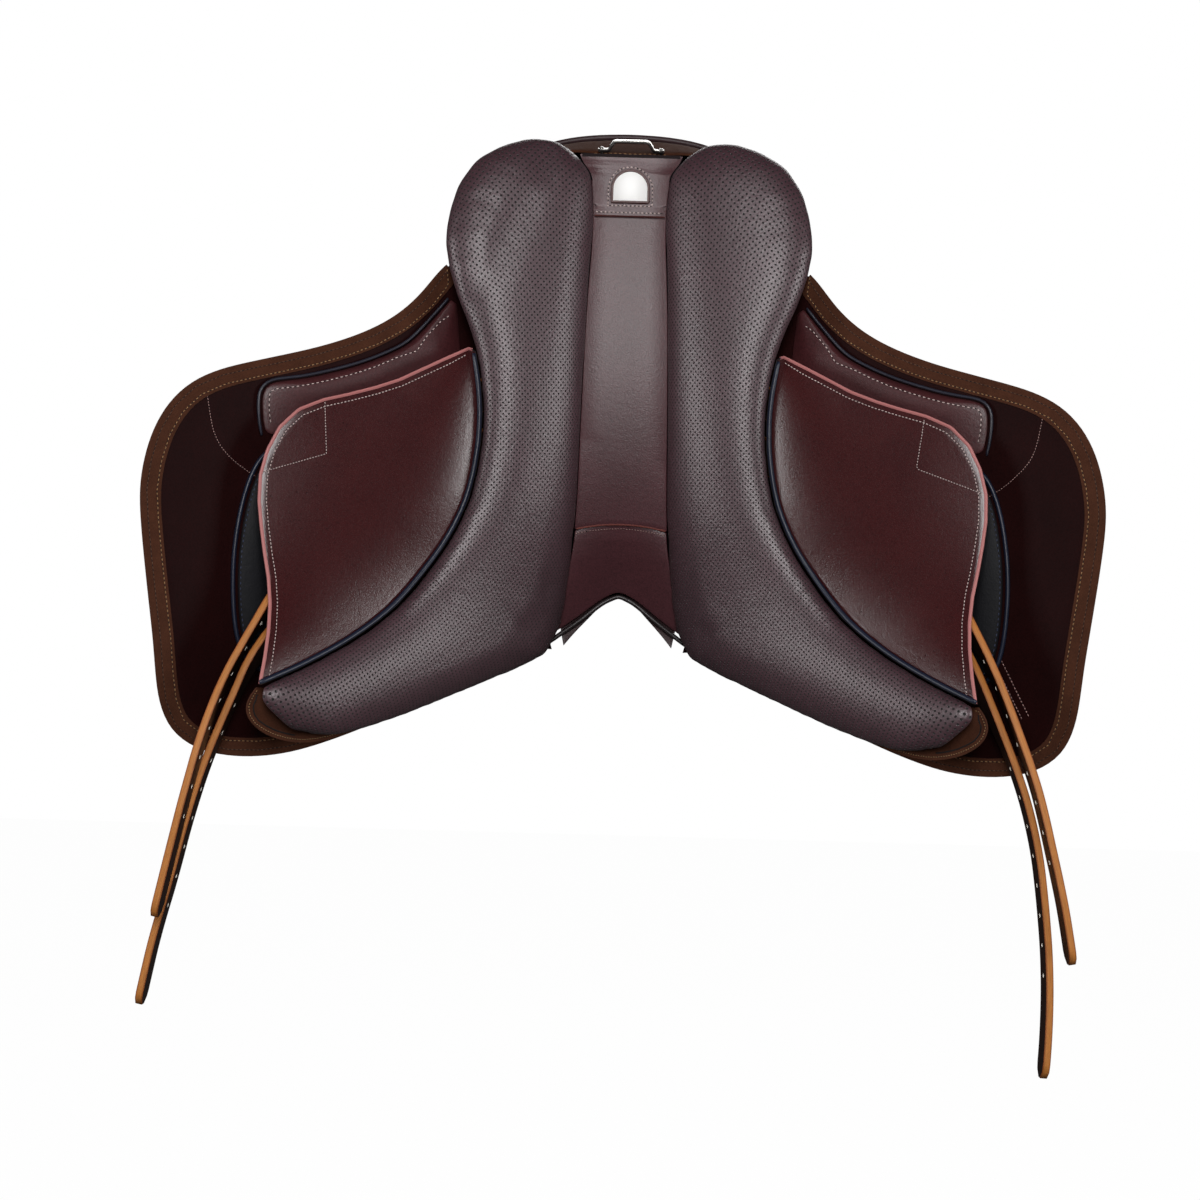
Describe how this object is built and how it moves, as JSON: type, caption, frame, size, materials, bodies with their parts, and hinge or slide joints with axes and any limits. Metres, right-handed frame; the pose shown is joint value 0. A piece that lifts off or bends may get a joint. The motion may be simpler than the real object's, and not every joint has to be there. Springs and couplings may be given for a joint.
{
  "type": "endurance saddle",
  "caption": "Endurance riding saddle with cushioned panels either side of an open channel, long flaps, girth straps, stirrup bars and tie rings.",
  "frame": {"origin": "on the symmetry plane, at the bearing surface of the panels, midway along them", "axes": "+Z towards the cantle, +X to the saddle's right with its underside seen, -Y towards the horse"},
  "size_m": [0.8592, 0.3223, 0.8827],
  "materials": {
    "panel_leather": "perforated, satin",
    "smooth_leather": "smooth, satin",
    "flap_leather": "smooth, satin",
    "block_leather": "grained, matt",
    "suede": "suede nap, matt",
    "navy_piping": "smooth, semi-gloss",
    "bridle_leather": "dark face, tan cut edge",
    "webbing": "woven tape",
    "seat_foam": "open-cell foam",
    "moulded_tree": "moulded, matt",
    "plated_steel": "nickel plated, polished",
    "plain_plate": "plain white"
  },
  "bodies": {
    "saddle": {"panel_cushion_left": "panel_leather", "panel_cushion_right": "panel_leather", "panel_piping_left": "navy_piping", "panel_piping_right": "navy_piping", "sweat_flap_left": "smooth_leather", "sweat_flap_right": "smooth_leather", "toe_facing_left": "suede", "toe_facing_right": "suede", "skirt_welt_left": "smooth_leather", "skirt_welt_right": "smooth_leather", "stirrup_bar_left": "plated_steel", "stirrup_bar_right": "plated_steel", "bar_rivet_left": "plated_steel", "bar_rivet_right": "plated_steel", "catch_pin_left": "plated_steel", "catch_pin_right": "plated_steel", "dee_chape_left": "smooth_leather", "dee_chape_right": "smooth_leather", "head_screw_left": "plated_steel", "head_screw_right": "plated_steel", "staple_screw_left": "plated_steel", "staple_screw_right": "plated_steel", "channel_strip": "smooth_leather", "arch_lining": "smooth_leather", "arch_binding": "suede", "rear_cap": "smooth_leather", "badge_plate": "plain_plate", "seat_cover": "smooth_leather", "seat_foam": "seat_foam", "tree_body": "moulded_tree", "cantle_facing": "suede", "pommel_facing": "smooth_leather", "cantle_welt": "smooth_leather", "head_plate": "plated_steel", "girth_web_rear": "webbing", "girth_web_front": "webbing", "rear_staple": "plated_steel"},
    "flap_left": {"flap_left": "flap_leather", "flap_binding_left": "suede", "flap_pad_left": "flap_leather", "flap_pad_piping_left": "navy_piping", "block_pad_left": "block_leather", "block_piping_left": "navy_piping"},
    "skirt_left": {"skirt_left": "smooth_leather"},
    "rear_strap_left": {"girth_strap_rear_left": "bridle_leather"},
    "front_strap_left": {"girth_strap_front_left": "bridle_leather"},
    "catch_left": {"bar_catch_left": "plated_steel"},
    "dee_left": {"front_dee_left": "plated_steel"},
    "flap_right": {"flap_right": "flap_leather", "flap_binding_right": "suede", "flap_pad_right": "flap_leather", "flap_pad_piping_right": "navy_piping", "block_pad_right": "block_leather", "block_piping_right": "navy_piping"},
    "skirt_right": {"skirt_right": "smooth_leather"},
    "rear_strap_right": {"girth_strap_rear_right": "bridle_leather"},
    "front_strap_right": {"girth_strap_front_right": "bridle_leather"},
    "catch_right": {"bar_catch_right": "plated_steel"},
    "dee_right": {"front_dee_right": "plated_steel"}
  },
  "joints": [
    {"name": "flap_hinge_left", "type": "hinge", "parent": "saddle", "child": "flap_left", "pos_m": [-0.125, 0.0526, 0], "axis": [0.249, 0.1872, -0.9502], "range_deg": [0, 45]},
    {"name": "skirt_hinge_left", "type": "hinge", "parent": "saddle", "child": "skirt_left", "pos_m": [-0.10242, 0.09361, -0.027], "axis": [0.1683, 0.0735, -0.983], "range_deg": [0, 41]},
    {"name": "rear_strap_hinge_left", "type": "hinge", "parent": "saddle", "child": "rear_strap_left", "pos_m": [-0.11, 0.047, 0.024], "axis": [-0.2951, 0.9527, 0.0725], "range_deg": [0, 7]},
    {"name": "front_strap_hinge_left", "type": "hinge", "parent": "saddle", "child": "front_strap_left", "pos_m": [-0.11, 0.047, -0.024], "axis": [-0.2951, 0.9527, 0.0725], "range_deg": [0, 7]},
    {"name": "catch_hinge_left", "type": "hinge", "parent": "saddle", "child": "catch_left", "pos_m": [-0.098, 0.08082, -0.064], "axis": [-1, 0, 0], "range_deg": [0, 80]},
    {"name": "dee_hinge_left", "type": "hinge", "parent": "saddle", "child": "dee_left", "pos_m": [-0.08, 0.108, -0.175], "axis": [1, 0, 0], "range_deg": [-15, 55]},
    {"name": "flap_hinge_right", "type": "hinge", "parent": "saddle", "child": "flap_right", "pos_m": [0.125, 0.0526, 0], "axis": [0.249, -0.1872, 0.9502], "range_deg": [0, 45]},
    {"name": "skirt_hinge_right", "type": "hinge", "parent": "saddle", "child": "skirt_right", "pos_m": [0.10242, 0.09361, -0.027], "axis": [0.1683, -0.0735, 0.983], "range_deg": [0, 41]},
    {"name": "rear_strap_hinge_right", "type": "hinge", "parent": "saddle", "child": "rear_strap_right", "pos_m": [0.11, 0.047, 0.024], "axis": [-0.2951, -0.9527, -0.0725], "range_deg": [0, 7]},
    {"name": "front_strap_hinge_right", "type": "hinge", "parent": "saddle", "child": "front_strap_right", "pos_m": [0.11, 0.047, -0.024], "axis": [-0.2951, -0.9527, -0.0725], "range_deg": [0, 7]},
    {"name": "catch_hinge_right", "type": "hinge", "parent": "saddle", "child": "catch_right", "pos_m": [0.098, 0.08082, -0.064], "axis": [-1, 0, 0], "range_deg": [0, 80]},
    {"name": "dee_hinge_right", "type": "hinge", "parent": "saddle", "child": "dee_right", "pos_m": [0.08, 0.108, -0.175], "axis": [1, 0, 0], "range_deg": [-15, 55]}
  ],
  "couplings": [
    {"joint": "skirt_hinge_left", "follows": "flap_hinge_left", "ratio": 0.9},
    {"joint": "front_strap_hinge_left", "follows": "rear_strap_hinge_left", "ratio": 1},
    {"joint": "skirt_hinge_right", "follows": "flap_hinge_right", "ratio": 0.9},
    {"joint": "front_strap_hinge_right", "follows": "rear_strap_hinge_right", "ratio": 1}
  ]
}
